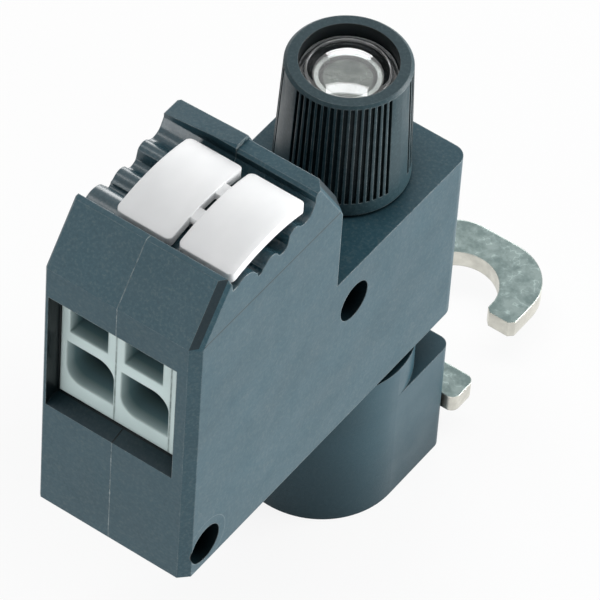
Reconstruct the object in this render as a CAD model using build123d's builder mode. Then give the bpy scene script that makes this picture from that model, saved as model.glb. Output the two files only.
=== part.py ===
from build123d import *
import os
from math import atan2, degrees

# Fused busbar terminal, in millimetres.
# The origin is the axis of the busbar stud, on the face of the claw that lies on the busbar.
# +X is the width, +Y points away from the conductor entries, +Z is up along the fuse.

# Overall form of the housing
BODY_WIDTH = 17.0
SEAM_SHIFT = 0.4
FRONT_HEIGHT = 32.0
BEVEL_DEPTH = 4.1
LIP_RISE = 5.7
LIP_DEPTH = 0.7
RIDGE_RISE = 6.0
RIDGE_STEP = 0.45
RIDGE_FALL = 1.0
TOWER_DEPTH = 22.3
LEDGE_LENGTH = 21.4
LEDGE_HEIGHT = 21.5
BACK_CORNER_RADIUS = 1.6
FRONT_CHAMFER = 0.95

# Marker seat: its level is above the front edge, its valleys and humps are below or above that level
SEAT_START = 0.3
SEAT_RISE = 4.1
SEAT_LENGTH = 12.5
SEAT_VALLEY_DROP = 1.1
SEAT_LOW_VALLEY_DROP = 1.6
SEAT_HUMP_RISE = 0.2
RIDGE_TOP_WIDTH = 1.5
RIDGE_EDGE = 0.3
KEYHOLE_RADIUS = 0.4
KEYHOLE_SHARE = 0.336

# Place of the housing on the busbar
STUD_REACH = 12.7
STUD_OFFSET = 1.0
PLATE_THICKNESS = 2.0
UNDERSIDE_HEIGHT = 15.4

# Conductor window and clamp poles
WINDOW_LEFT = -8.0
WINDOW_RIGHT = 6.4
WINDOW_BOTTOM = 13.5
WINDOW_TOP = 28.3
SILL_RISE = 0.5
FACE_RECESS = 1.9
TOWER_WALL = 2.1
POLE_COUNT = 2
POLE_WIDTH = 6.2
POLE_HEIGHT = 14.7
POLE_WALL = 0.8
POLE_STACK_LEFT = -7.8
POLE_FLOOR = 1.2
POLE_ROOF = 1.0
POLE_BACK_WALL = 1.3
END_PLATE_THICKNESS = 1.5
CHAMBER_SETBACK = 6.7
FUNNEL_WIDTH = 5.4
FUNNEL_HEIGHT = 5.2
FUNNEL_SHIFT = 0.25
FUNNEL_CENTRE = 18.7
FUNNEL_DEPTH = 5.9
FUNNEL_TAPER = 8.5
FUNNEL_WIDE_RADIUS = 1.9
FUNNEL_SMALL_RADIUS = 1.1
WIRE_HOLE_RADIUS = 1.7
WIRE_HEIGHT = 18.2
SLOT_WIDTH = 4.3
SLOT_HEIGHT = 4.5
SLOT_BOTTOM = 22.7
SLOT_TAPER = 5.0

# Current bar and cage springs
BAR_THICKNESS = 0.6
BAR_HEIGHT = 20.0
BAR_CLEARANCE = 0.1
FINGER_WIDTH = 3.0
FINGER_START = 9.0
CROSSBAR_GAP = 0.3
CROSSBAR_WIDTH = 1.9
TAIL_WIDTH = 4.6
SPRING_STRIP = 0.4
SPRING_WIDTH = 4.0
SPRING_WINDOW_WIDTH = 3.2
SPRING_LEG_SETBACK = 9.6
SPRING_LOOP_RADIUS = 2.5
SPRING_LOOP_CLEARANCE = 5.0
SPRING_LEG_DROP = 1.9
CLAMP_TRAVEL = 3.0

# Side holes
HOLE_RADIUS = 2.15
REAR_HOLE = (25.4, 16.8)
FRONT_HOLE = (3.0, 2.8)

# Fuse holder
BLOCK_REACH = 0.45
FUSE_LENGTH = 20.0
FUSE_RADIUS = 2.6
FUSE_END_LENGTH = 5.0
FUSE_END_WALL = 0.2
GLASS_WALL = 0.6
ELEMENT_RADIUS = 0.15
FUSE_BASE_HEIGHT = 13.5
BARREL_RADIUS = 5.0
BARREL_BORE = 3.15
BARREL_DROP = 12.0
BARREL_FIT = 0.05
FLANGE_RADIUS = 6.2
FLANGE_BOTTOM = 8.0
FLANGE_THICKNESS = 2.0
COLLAR_RADIUS = 5.2
RING_OUTER = 3.55
RING_INNER = 3.1
RING_OVERLAP = 0.3
RING_SETBACK = 1.0
PLUNGER_HEIGHT = 4.0
PLUNGER_RADIUS = 3.1
PLUNGER_BORE = 2.4
PLUNGER_HEAD = 1.0
PLUNGER_SPRING_RADIUS = 1.9
PLUNGER_SPRING_WIRE = 0.5
PLUNGER_SPRING_TURNS = 3.5
POST_FLANGE_TOP = 4.0
POST_FLANGE_THICKNESS = 0.8
POST_RADIUS = 2.2
POST_SHANK_RADIUS = 1.5
POST_HEAD_RADIUS = 2.6
POST_HEAD_HEIGHT = 1.2

# Screw cap
CAP_TOP_RADIUS = 6.05
CAP_BOTTOM_RADIUS = 6.6
CAP_SEAT_GAP = 0.4
CAP_RIM_RISE = 1.95
CAP_RIM_EDGE = 0.3
CAP_OPENING = 4.7
CAP_BORE = 5.3
CAP_SHOULDER = 1.5
CAP_THROAT = 3.2
COLLAR_SETBACK = 4.4
RIB_SECTORS = 3
RIB_SECTOR_CENTRE = -60.0
RIBS_PER_SECTOR = 16
RIB_PITCH = 6.0
GROOVE_WIDTH = 0.38
GROOVE_DEPTH = 0.4
GROOVE_FOOT = 1.5
LENS_FLANGE = 0.4
LENS_RADIUS = 4.15
LENS_DOME = 1.35
CLIP_INNER = 2.65
CLIP_OUTER = 3.0
CLIP_LENGTH = 9.0
CLIP_FLANGE_RADIUS = 4.9
CLIP_FLANGE_THICKNESS = 0.4
CAP_FIT = 0.05

# Foot and claw
FOOT_BOTTOM_DROP = 4.65
BLOCK_TOP_DROP = 5.45
RIM_GAP = 1.35
CUP_WALL = 1.0
CUP_FLOOR = 4.9
BARREL_SEAT = UNDERSIDE_HEIGHT - BARREL_DROP
FOOT_CORNER_RADIUS = 1.2
CLAW_RADIUS = 4.2
CLAW_BAND = 3.3
CLAW_BACK_BAND = 3.7
CLAW_CORNER_RADIUS = 5.5
CLAW_TIP_DROP = 1.15
CLAW_TIP_CUT = 0.5
SHOULDER_DEPTH = 3.5
SHOULDER_REACH = 1.05
SHOULDER_RADIUS = 0.9
TONGUE_HALF_WIDTH = 5.5
TONGUE_MARGIN = 4.0

# Marker strip
TAG_WIDTH = 6.1
TAG_GAP = 0.8
TAG_LENGTH = 11.2
TAG_THICKNESS = 1.1
TAG_START = 0.2
TAG_LEFT = -4.8
TAG_RISE = 1.6
TAG_CROWN = 0.8
TAG_CORNER_RADIUS = 0.6
BRIDGE_LENGTH = 1.5
TAG_FOOT_WIDTH = 3.0
TAG_FOOT_LENGTH = 0.8
TAG_FOOT_START = 3.55
TAG_FOOT_DROP = 0.65

# Sizes and places worked out from those above
FUSE_SETBACK = BODY_WIDTH / 2 + BLOCK_REACH
BODY_DEPTH = TOWER_DEPTH + LEDGE_LENGTH
POLE_DEPTH = TOWER_DEPTH - FACE_RECESS - TOWER_WALL
SPRING_LOOP_SETBACK = FACE_RECESS + POLE_DEPTH - SPRING_LOOP_CLEARANCE
CROSSBAR_START = FACE_RECESS + POLE_DEPTH + CROSSBAR_GAP
LIP_HEIGHT = FRONT_HEIGHT + LIP_RISE
RIDGE_HEIGHT = FRONT_HEIGHT + RIDGE_RISE
SEAT_FRONT = BEVEL_DEPTH + LIP_DEPTH + SEAT_START
SEAT_LEVEL = FRONT_HEIGHT + SEAT_RISE
RIDGE_FRONT = SEAT_FRONT + SEAT_LENGTH
MID_X = -STUD_OFFSET
LEFT_X = MID_X - BODY_WIDTH / 2
RIGHT_X = MID_X + BODY_WIDTH / 2
SEAM_X = MID_X - SEAM_SHIFT
BACK_Y = -STUD_REACH
FRONT_Y = BACK_Y - BODY_DEPTH
FUSE_Y = BACK_Y - FUSE_SETBACK
BASE_Z = UNDERSIDE_HEIGHT
FUSE_AXIS = Axis((MID_X, FUSE_Y, 0), (0, 0, 1))
RIDGE_BACK = RIDGE_FRONT + RIDGE_EDGE + RIDGE_TOP_WIDTH
POLE_BOTTOM = WINDOW_BOTTOM + SILL_RISE + 0.1
BAR_CHANNEL_LOW = BAR_HEIGHT - BAR_CLEARANCE
BAR_CHANNEL_HIGH = BAR_HEIGHT + BAR_THICKNESS + BAR_CLEARANCE
STACK_RIGHT = POLE_STACK_LEFT + POLE_COUNT * POLE_WIDTH + END_PLATE_THICKNESS
FUSE_TOP_HEIGHT = FUSE_BASE_HEIGHT + FUSE_LENGTH
CAP_BOTTOM = LEDGE_HEIGHT + CAP_SEAT_GAP
CAP_SHOULDER_TOP = FUSE_TOP_HEIGHT + 0.4
CAP_SHOULDER_BOTTOM = CAP_SHOULDER_TOP - CAP_SHOULDER
CAP_TOP = CAP_SHOULDER_TOP + CAP_RIM_RISE
BARREL_TOP = CAP_SHOULDER_BOTTOM - COLLAR_SETBACK
RING_BOTTOM = BAR_HEIGHT - RING_OVERLAP
RING_TOP = BARREL_TOP - RING_SETBACK


def at(depth, height):
    """A point of a side view, from its depth behind the front face and its height above the underside."""
    return (FRONT_Y + depth, BASE_Z + height)


def side_plane(x):
    """The plane of a side view at x, drawn in Y and Z."""
    return Plane.YZ.offset(x)


def front_plane(depth):
    """A plane parallel to the front face, seen from the front, drawn in X and Z."""
    return Plane(origin=(0, FRONT_Y + depth, 0), x_dir=(1, 0, 0), z_dir=(0, -1, 0))


def level(height):
    """The horizontal plane at a height above the underside."""
    return Plane.XY.offset(BASE_Z + height)


def radial_plane():
    """The plane of a half section through the fuse axis, drawn in radius and Z."""
    return Plane(origin=(MID_X, FUSE_Y, 0), x_dir=(1, 0, 0), z_dir=(0, -1, 0))


def box_between(low, high, mode=Mode.ADD):
    """A box from its lowest to its highest corner, in the part's frame."""
    size = [b - a for a, b in zip(low, high)]
    with Locations(tuple(low)):
        Box(*size, align=(Align.MIN, Align.MIN, Align.MIN), mode=mode)


def span(depths, heights, xs, mode=Mode.SUBTRACT):
    """A box given by depths from the front face, heights above the underside and x from the mid-plane."""
    low = (MID_X + xs[0], FRONT_Y + depths[0], BASE_Z + heights[0])
    high = (MID_X + xs[1], FRONT_Y + depths[1], BASE_Z + heights[1])
    box_between(low, high, mode)


def turned(section):
    """Turns a section of (radius, height above the underside) points about the fuse axis."""
    with BuildSketch(radial_plane()) as half:
        with BuildLine():
            Polyline(*[(radius, BASE_Z + height) for radius, height in section], close=True)
        make_face()
    revolve(half.sketch, axis=FUSE_AXIS)


def fuse_disc(z, radius):
    """A circle about the fuse axis at the level z."""
    with BuildSketch(Plane.XY.offset(z)) as disc:
        with Locations((MID_X, FUSE_Y)):
            Circle(radius)
    return disc.sketch


def save(part, name):
    """Labels a finished piece and writes it."""
    part.label = name
    export_step(part, os.path.join("parts", name + ".step"))


# Housing: the side view with its bevelled nose, wavy marker seat, ridge and rear ledge
def seat(share, rise):
    """A point of the marker seat: share of the way to the ridge, rise above the seat's level."""
    return at(SEAT_FRONT + share * SEAT_LENGTH, SEAT_LEVEL + rise)


def housing_outline(x, ridge_height):
    flat_end = seat(0.06, 0)
    first_flank = seat(0.28, 0.5 - SEAT_VALLEY_DROP)
    first_valley = seat(0.4, 0.2 - SEAT_VALLEY_DROP)
    second_flank = seat(0.56, 0.3 - SEAT_LOW_VALLEY_DROP)
    second_valley = seat(0.67, 0.4 - SEAT_LOW_VALLEY_DROP)
    hump_start = seat(0.69, SEAT_HUMP_RISE - 0.4)
    hump_end = seat(0.81, SEAT_HUMP_RISE - 0.35)
    seat_end = seat(0.97, SEAT_HUMP_RISE)
    with BuildSketch(side_plane(x)) as outline:
        with BuildLine():
            Polyline(
                at(0, 0),
                at(0, FRONT_HEIGHT),
                at(BEVEL_DEPTH, LIP_HEIGHT),
                at(BEVEL_DEPTH + LIP_DEPTH, LIP_HEIGHT),
                seat(0, 0),
                flat_end,
            )
            ThreePointArc(flat_end, seat(0.18, SEAT_HUMP_RISE + 0.1), first_flank)
            ThreePointArc(first_flank, seat(0.336, -SEAT_VALLEY_DROP), first_valley)
            ThreePointArc(first_valley, seat(0.48, 0.6 - SEAT_VALLEY_DROP), second_flank)
            ThreePointArc(second_flank, seat(0.616, -SEAT_LOW_VALLEY_DROP), second_valley)
            Line(second_valley, hump_start)
            ThreePointArc(hump_start, seat(0.74, SEAT_HUMP_RISE), hump_end)
            ThreePointArc(hump_end, seat(0.9, SEAT_HUMP_RISE - 0.7), seat_end)
            Polyline(
                seat_end,
                seat(1, SEAT_HUMP_RISE + 0.7),
                at(RIDGE_FRONT, ridge_height - RIDGE_EDGE),
                at(RIDGE_FRONT + RIDGE_EDGE, ridge_height),
                at(RIDGE_BACK, ridge_height),
                at(TOWER_DEPTH, FRONT_HEIGHT + 1.2),
                at(TOWER_DEPTH, LEDGE_HEIGHT),
                at(BODY_DEPTH, LEDGE_HEIGHT),
                at(BODY_DEPTH, 0),
                at(0, 0),
            )
        make_face()
    return outline.sketch


def cut_housing_cavities():
    """The window, the pole chamber, the bar channel, the barrel seat and the two side holes."""
    with BuildSketch(side_plane(MID_X + WINDOW_LEFT)) as window:
        with BuildLine():
            Polyline(
                at(-1, WINDOW_BOTTOM - SILL_RISE / FACE_RECESS),
                at(FACE_RECESS, WINDOW_BOTTOM + SILL_RISE),
                at(FACE_RECESS, WINDOW_TOP),
                at(-1, WINDOW_TOP),
                close=True,
            )
        make_face()
    extrude(window.sketch, amount=WINDOW_RIGHT - WINDOW_LEFT, mode=Mode.SUBTRACT)
    chamber_back = FACE_RECESS + POLE_DEPTH + 0.1
    chamber_x = (POLE_STACK_LEFT - 0.1, STACK_RIGHT + 0.1)
    span((FACE_RECESS, chamber_back), (POLE_BOTTOM - 0.1, POLE_BOTTOM + POLE_HEIGHT + 0.1), chamber_x)
    channel_back = CROSSBAR_START + CROSSBAR_WIDTH + 0.1
    channel_z = (BAR_CHANNEL_LOW, BAR_CHANNEL_HIGH)
    span((chamber_back - 0.1, channel_back), channel_z, chamber_x)
    tail_half = TAIL_WIDTH / 2 + BAR_CLEARANCE
    span((channel_back - 0.1, BODY_DEPTH - FUSE_SETBACK), channel_z, (-tail_half, tail_half))
    barrel_bore = fuse_disc(BASE_Z - 1, BARREL_RADIUS + BARREL_FIT)
    extrude(barrel_bore, amount=LEDGE_HEIGHT + 2, mode=Mode.SUBTRACT)
    flange_groove = fuse_disc(BASE_Z + FLANGE_BOTTOM - BARREL_FIT, FLANGE_RADIUS + BARREL_FIT)
    extrude(flange_groove, amount=FLANGE_THICKNESS + 2 * BARREL_FIT, mode=Mode.SUBTRACT)
    with BuildSketch(side_plane(LEFT_X - 1)) as holes:
        with Locations(at(*REAR_HOLE), at(*FRONT_HOLE)):
            Circle(HOLE_RADIUS)
        with Locations(seat(KEYHOLE_SHARE, -SEAT_VALLEY_DROP)):
            Circle(KEYHOLE_RADIUS)
    extrude(holes.sketch, amount=BODY_WIDTH + 2, mode=Mode.SUBTRACT)


def cut_ridge_fall():
    """The left shell's ridge drops a little towards its outer side."""
    top = BASE_Z + RIDGE_HEIGHT + RIDGE_STEP
    with BuildSketch(front_plane(RIDGE_FRONT - RIDGE_EDGE)) as wedge:
        with BuildLine():
            Polyline(
                (SEAM_X, top),
                (LEFT_X, top - RIDGE_FALL),
                (LEFT_X, top + 1),
                (SEAM_X, top + 1),
                close=True,
            )
        make_face()
    extrude(wedge.sketch, amount=-(TOWER_DEPTH - RIDGE_FRONT), mode=Mode.SUBTRACT)


def make_shell(x_low, x_high, outer_x, ridge_height, nose_chamfer):
    with BuildPart() as shell:
        extrude(housing_outline(x_low, ridge_height), amount=x_high - x_low)
        side_edges = shell.edges().filter_by_position(Axis.X, outer_x - 0.01, outer_x + 0.01)
        upright = side_edges.filter_by(Axis.Z)
        fillet(upright.filter_by_position(Axis.Y, BACK_Y - 0.01, BACK_Y + 0.01), BACK_CORNER_RADIUS)
        side_edges = shell.edges().filter_by_position(Axis.X, outer_x - 0.01, outer_x + 0.01)
        nose = side_edges.filter_by(lambda edge: edge.center().Y < FRONT_Y + BEVEL_DEPTH * 0.75)
        nose = nose.filter_by(lambda edge: edge.center().Z > BASE_Z + 1)
        slope = side_edges.filter_by(lambda edge: edge.center().Y > FRONT_Y + RIDGE_BACK + 0.5)
        slope = slope.filter_by(lambda edge: edge.center().Z > BASE_Z + FRONT_HEIGHT + 1)
        chamfer(nose + slope, nose_chamfer)
        if ridge_height > RIDGE_HEIGHT:
            cut_ridge_fall()
        cut_housing_cavities()
    return shell.part


# Clamp poles: moulded blocks with a funnel, a screwdriver slot and a spring chamber
def funnel_mouth(plane, centre):
    """A rectangle with its upper right and lower left corners rounded widely."""
    x, z = centre
    with BuildSketch(plane) as section:
        with Locations(centre):
            Rectangle(FUNNEL_WIDTH, FUNNEL_HEIGHT)
        wide = section.vertices().filter_by(lambda corner: (corner.X - x) * (corner.Y - z) > 0)
        small = section.vertices().filter_by(lambda corner: (corner.X - x) * (corner.Y - z) < 0)
        fillet(wide, FUNNEL_WIDE_RADIUS)
        fillet(small, FUNNEL_SMALL_RADIUS)
    return section.sketch


def make_pole(number):
    left = POLE_STACK_LEFT + number * POLE_WIDTH
    centre = left + POLE_WIDTH / 2
    chamber_front = FACE_RECESS + CHAMBER_SETBACK
    chamber_back = FACE_RECESS + POLE_DEPTH - POLE_BACK_WALL
    top = POLE_BOTTOM + POLE_HEIGHT
    chamber_heights = (POLE_BOTTOM + POLE_FLOOR, top - POLE_ROOF)
    with BuildPart() as pole:
        depths = (FACE_RECESS, FACE_RECESS + POLE_DEPTH)
        span(depths, (POLE_BOTTOM, top), (left, left + POLE_WIDTH), Mode.ADD)
        span((chamber_front, chamber_back), chamber_heights, (left + POLE_WALL, left + POLE_WIDTH))
        wire = (MID_X + centre, BASE_Z + WIRE_HEIGHT)
        mouth = (MID_X + centre + FUNNEL_SHIFT, BASE_Z + FUNNEL_CENTRE)
        funnel = funnel_mouth(front_plane(FACE_RECESS), mouth)
        extrude(funnel, amount=-FUNNEL_DEPTH, taper=FUNNEL_TAPER, mode=Mode.SUBTRACT)
        with BuildSketch(front_plane(FACE_RECESS)):
            with Locations(wire):
                Circle(WIRE_HOLE_RADIUS)
        extrude(amount=-CHAMBER_SETBACK - 1, mode=Mode.SUBTRACT)
        with BuildSketch(front_plane(FACE_RECESS)):
            with Locations((MID_X + centre, BASE_Z + SLOT_BOTTOM + SLOT_HEIGHT / 2)):
                Rectangle(SLOT_WIDTH, SLOT_HEIGHT)
        extrude(amount=-CHAMBER_SETBACK - 0.5, taper=SLOT_TAPER, mode=Mode.SUBTRACT)
        half = FINGER_WIDTH / 2 + BAR_CLEARANCE
        span(
            (chamber_back - 1, FACE_RECESS + POLE_DEPTH + 1),
            (BAR_CHANNEL_LOW, BAR_CHANNEL_HIGH),
            (centre - half, centre + half),
        )
    return pole.part


def make_end_plate():
    left = POLE_STACK_LEFT + POLE_COUNT * POLE_WIDTH
    with BuildPart() as plate:
        span(
            (FACE_RECESS, FACE_RECESS + POLE_DEPTH),
            (POLE_BOTTOM, POLE_BOTTOM + POLE_HEIGHT),
            (left, left + END_PLATE_THICKNESS),
            Mode.ADD,
        )
        outer = plate.faces().sort_by(Axis.X)[-1]
        chamfer(outer.edges().filter_by(Axis.Z).sort_by(Axis.Y)[:1], 0.3)
    return plate.part


# Cage spring: a strip that starts on the bar, loops back over itself and drops in front as a window
def make_cage_spring(number):
    centre = POLE_STACK_LEFT + (number + 0.5) * POLE_WIDTH
    tail_height = BAR_HEIGHT + BAR_THICKNESS + SPRING_STRIP / 2 + 0.02
    loop_top = tail_height + 2 * SPRING_LOOP_RADIUS
    leg_bottom = BAR_HEIGHT - SPRING_LEG_DROP
    leg_top = loop_top - 1.5
    with BuildPart() as spring:
        with BuildSketch(side_plane(MID_X + centre - SPRING_WIDTH / 2)):
            with BuildLine() as path:
                tail = Line(at(SPRING_LEG_SETBACK + 1.4, tail_height), at(SPRING_LOOP_SETBACK, tail_height))
                loop = ThreePointArc(
                    tail @ 1,
                    at(SPRING_LOOP_SETBACK + SPRING_LOOP_RADIUS, tail_height + SPRING_LOOP_RADIUS),
                    at(SPRING_LOOP_SETBACK, loop_top),
                )
                arm = Line(loop @ 1, at(SPRING_LEG_SETBACK + 1.5, loop_top))
                bend = RadiusArc(arm @ 1, at(SPRING_LEG_SETBACK, leg_top), -1.5)
                Line(bend @ 1, at(SPRING_LEG_SETBACK, leg_bottom))
            trace(path.edges(), line_width=SPRING_STRIP)
        extrude(amount=SPRING_WIDTH)
        window_half = SPRING_WINDOW_WIDTH / 2
        window_low = BAR_HEIGHT - 0.05
        window_high = BAR_HEIGHT + BAR_THICKNESS + CLAMP_TRAVEL + 0.2
        span(
            (SPRING_LEG_SETBACK - 0.4, SPRING_LEG_SETBACK + 0.4),
            (window_low, window_high),
            (centre - window_half, centre + window_half),
        )
    return spring.part


# Current bar: a flat fork whose fingers enter the poles and whose tail reaches the contact ring
def make_current_bar():
    first = POLE_STACK_LEFT + POLE_WIDTH / 2
    last = first + (POLE_COUNT - 1) * POLE_WIDTH
    heights = (BAR_HEIGHT, BAR_HEIGHT + BAR_THICKNESS)
    half = FINGER_WIDTH / 2
    with BuildPart() as bar:
        for number in range(POLE_COUNT):
            centre = first + number * POLE_WIDTH
            span((FINGER_START, CROSSBAR_START + 0.5), heights, (centre - half, centre + half), Mode.ADD)
        crossbar = (CROSSBAR_START, CROSSBAR_START + CROSSBAR_WIDTH)
        span(crossbar, heights, (first - half, last + half), Mode.ADD)
        tail = (-TAIL_WIDTH / 2, TAIL_WIDTH / 2)
        span((CROSSBAR_START + 0.5, BODY_DEPTH - FUSE_SETBACK), heights, tail, Mode.ADD)
        with BuildSketch(level(BAR_HEIGHT - 1)):
            with Locations((MID_X, FUSE_Y)):
                Circle(RING_OUTER)
        extrude(amount=BAR_THICKNESS + 2, mode=Mode.SUBTRACT)
    return bar.part


# Fuse barrel: the insulating tube that joins the housing to the foot and takes the screw cap
def make_barrel():
    with BuildPart() as barrel:
        turned([
            (BARREL_BORE, -BARREL_DROP),
            (BARREL_RADIUS, -BARREL_DROP),
            (BARREL_RADIUS, FLANGE_BOTTOM),
            (FLANGE_RADIUS, FLANGE_BOTTOM),
            (FLANGE_RADIUS, FLANGE_BOTTOM + FLANGE_THICKNESS),
            (BARREL_RADIUS, FLANGE_BOTTOM + FLANGE_THICKNESS),
            (BARREL_RADIUS, LEDGE_HEIGHT),
            (COLLAR_RADIUS, LEDGE_HEIGHT),
            (COLLAR_RADIUS, BARREL_TOP - 0.4),
            (COLLAR_RADIUS - 0.4, BARREL_TOP),
            (RING_OUTER, BARREL_TOP),
            (RING_OUTER, RING_BOTTOM),
            (BARREL_BORE, RING_BOTTOM),
        ])
        bar_reach = BODY_DEPTH - FUSE_SETBACK
        half = TAIL_WIDTH / 2 + BAR_CLEARANCE
        channel = (BAR_CHANNEL_LOW, BAR_CHANNEL_HIGH)
        span((bar_reach - BARREL_RADIUS - 1, bar_reach - 1), channel, (-half, half))
    return barrel.part


def make_contact_ring():
    with BuildPart() as ring:
        turned([
            (RING_INNER, RING_BOTTOM),
            (RING_OUTER, RING_BOTTOM),
            (RING_OUTER, RING_TOP),
            (RING_INNER + 0.2, RING_TOP),
            (RING_INNER, RING_TOP - 0.3),
        ])
    return ring.part


# Fuse: a glass tube with two metal ends and a wire between them
def make_fuse_end(outer_height, direction):
    inner_radius = FUSE_RADIUS - FUSE_END_WALL
    cap_height = outer_height + direction * FUSE_END_LENGTH
    disc_height = outer_height + direction * 0.4
    with BuildPart() as end:
        turned([
            (0, outer_height),
            (FUSE_RADIUS - 0.3, outer_height),
            (FUSE_RADIUS, outer_height + direction * 0.3),
            (FUSE_RADIUS, cap_height),
            (inner_radius, cap_height),
            (inner_radius, disc_height),
            (0, disc_height),
        ])
    return end.part


def make_fuse_tube():
    outer = FUSE_RADIUS - FUSE_END_WALL
    inner = outer - GLASS_WALL
    low = FUSE_BASE_HEIGHT + 0.4
    high = FUSE_TOP_HEIGHT - 0.4
    with BuildPart() as tube:
        turned([(inner, low), (outer, low), (outer, high), (inner, high)])
    return tube.part


def make_fuse_element():
    low = FUSE_BASE_HEIGHT + 0.4
    high = FUSE_TOP_HEIGHT - 0.4
    with BuildPart() as element:
        turned([(0, low), (ELEMENT_RADIUS, low), (ELEMENT_RADIUS, high), (0, high)])
    return element.part


# Lower contact: a sprung plunger on a post that is riveted to the claw
def make_plunger():
    bottom = FUSE_BASE_HEIGHT - PLUNGER_HEIGHT
    roof = FUSE_BASE_HEIGHT - PLUNGER_HEAD
    with BuildPart() as plunger:
        turned([
            (0, FUSE_BASE_HEIGHT),
            (PLUNGER_RADIUS - 0.3, FUSE_BASE_HEIGHT),
            (PLUNGER_RADIUS, FUSE_BASE_HEIGHT - 0.3),
            (PLUNGER_RADIUS, bottom),
            (PLUNGER_BORE, bottom),
            (PLUNGER_BORE, roof),
            (0, roof),
        ])
    return plunger.part


def make_plunger_spring():
    half_wire = PLUNGER_SPRING_WIRE / 2
    low = POST_FLANGE_TOP + half_wire
    high = FUSE_BASE_HEIGHT - PLUNGER_HEAD - half_wire
    pitch = (high - low) / PLUNGER_SPRING_TURNS
    centre = (MID_X, FUSE_Y, BASE_Z + low)
    with BuildPart() as spring:
        with BuildLine():
            coil = Helix(pitch=pitch, height=high - low, radius=PLUNGER_SPRING_RADIUS, center=centre)
        with BuildSketch(Plane(origin=coil @ 0, x_dir=(1, 0, 0), z_dir=coil % 0)):
            Rectangle(PLUNGER_SPRING_WIRE, PLUNGER_SPRING_WIRE)
        sweep(is_frenet=True)
    return spring.part


def make_contact_post():
    plate_top = PLATE_THICKNESS - BASE_Z
    plate_bottom = -BASE_Z
    flange_bottom = POST_FLANGE_TOP - POST_FLANGE_THICKNESS
    with BuildPart() as post:
        turned([
            (0, plate_bottom - POST_HEAD_HEIGHT),
            (POST_HEAD_RADIUS, plate_bottom - POST_HEAD_HEIGHT),
            (POST_HEAD_RADIUS, plate_bottom),
            (POST_SHANK_RADIUS, plate_bottom),
            (POST_SHANK_RADIUS, plate_top),
            (POST_RADIUS, plate_top),
            (POST_RADIUS, flange_bottom),
            (PLUNGER_RADIUS, flange_bottom),
            (PLUNGER_RADIUS, POST_FLANGE_TOP),
            (0, POST_FLANGE_TOP),
        ])
    return post.part


# Screw cap: a tapered knob with three ribbed sectors, a clear lens and a clip for the fuse
def make_cap():
    height = CAP_TOP - CAP_BOTTOM
    lean = degrees(atan2(CAP_BOTTOM_RADIUS - CAP_TOP_RADIUS, height))
    groove_length = height - GROOVE_FOOT - CAP_RIM_EDGE
    middle = (CAP_BOTTOM + GROOVE_FOOT + CAP_TOP - CAP_RIM_EDGE) / 2
    share = (middle - CAP_BOTTOM) / height
    radius = CAP_BOTTOM_RADIUS - share * (CAP_BOTTOM_RADIUS - CAP_TOP_RADIUS)
    centre = Location((MID_X, FUSE_Y, BASE_Z + middle))
    first = RIB_SECTOR_CENTRE - (RIBS_PER_SECTOR - 1) * RIB_PITCH / 2
    with BuildPart() as cap:
        turned([
            (CAP_BORE, CAP_BOTTOM),
            (CAP_BOTTOM_RADIUS, CAP_BOTTOM),
            (CAP_TOP_RADIUS, CAP_TOP - CAP_RIM_EDGE),
            (CAP_TOP_RADIUS - CAP_RIM_EDGE, CAP_TOP),
            (CAP_OPENING, CAP_TOP),
            (CAP_OPENING, CAP_SHOULDER_TOP),
            (CAP_THROAT, CAP_SHOULDER_TOP),
            (CAP_THROAT, CAP_SHOULDER_BOTTOM),
            (CAP_BORE, CAP_SHOULDER_BOTTOM),
        ])
        for sector in range(RIB_SECTORS):
            for rib in range(RIBS_PER_SECTOR):
                turn = first + sector * 360 / RIB_SECTORS + rib * RIB_PITCH
                outward = Location((0, 0, 0), (0, 0, turn)) * Location((radius, 0, 0), (0, -lean, 0))
                with Locations(centre * outward):
                    Box(2 * GROOVE_DEPTH, GROOVE_WIDTH, groove_length, mode=Mode.SUBTRACT)
    return cap.part


def make_lens():
    flange_top = CAP_SHOULDER_TOP + LENS_FLANGE
    sphere_radius = (LENS_RADIUS ** 2 + LENS_DOME ** 2) / (2 * LENS_DOME)
    with BuildPart() as dome:
        with Locations((MID_X, FUSE_Y, BASE_Z + flange_top + LENS_DOME - sphere_radius)):
            Sphere(sphere_radius)
        with BuildSketch(level(flange_top)):
            with Locations((MID_X, FUSE_Y)):
                Circle(LENS_RADIUS + 1)
        extrude(amount=LENS_DOME + 1, mode=Mode.INTERSECT)
    with BuildPart() as lens:
        add(dome.part)
        with BuildSketch(level(CAP_SHOULDER_TOP)):
            with Locations((MID_X, FUSE_Y)):
                Circle(CAP_OPENING - CAP_FIT)
        extrude(amount=LENS_FLANGE)
    return lens.part


def make_clip():
    flange_top = CAP_SHOULDER_BOTTOM - CAP_FIT
    flange_bottom = flange_top - CLIP_FLANGE_THICKNESS
    with BuildPart() as clip:
        turned([
            (CLIP_INNER, flange_bottom - CLIP_LENGTH),
            (CLIP_OUTER, flange_bottom - CLIP_LENGTH),
            (CLIP_OUTER, flange_bottom),
            (CLIP_FLANGE_RADIUS, flange_bottom),
            (CLIP_FLANGE_RADIUS, flange_top),
            (CAP_THROAT - CAP_FIT, flange_top),
            (CAP_THROAT - CAP_FIT, CAP_SHOULDER_TOP - 0.2),
            (CLIP_INNER, CAP_SHOULDER_TOP - 0.2),
        ])
        skirt_low = flange_bottom - CLIP_LENGTH - 1
        for turn in (0, 90):
            with BuildSketch(level(skirt_low)):
                with Locations(Location((MID_X, FUSE_Y, 0), (0, 0, turn))):
                    Rectangle(2 * CLIP_OUTER + 1, 0.5)
            extrude(amount=CLIP_LENGTH - 1, mode=Mode.SUBTRACT)
    return clip.part


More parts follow.
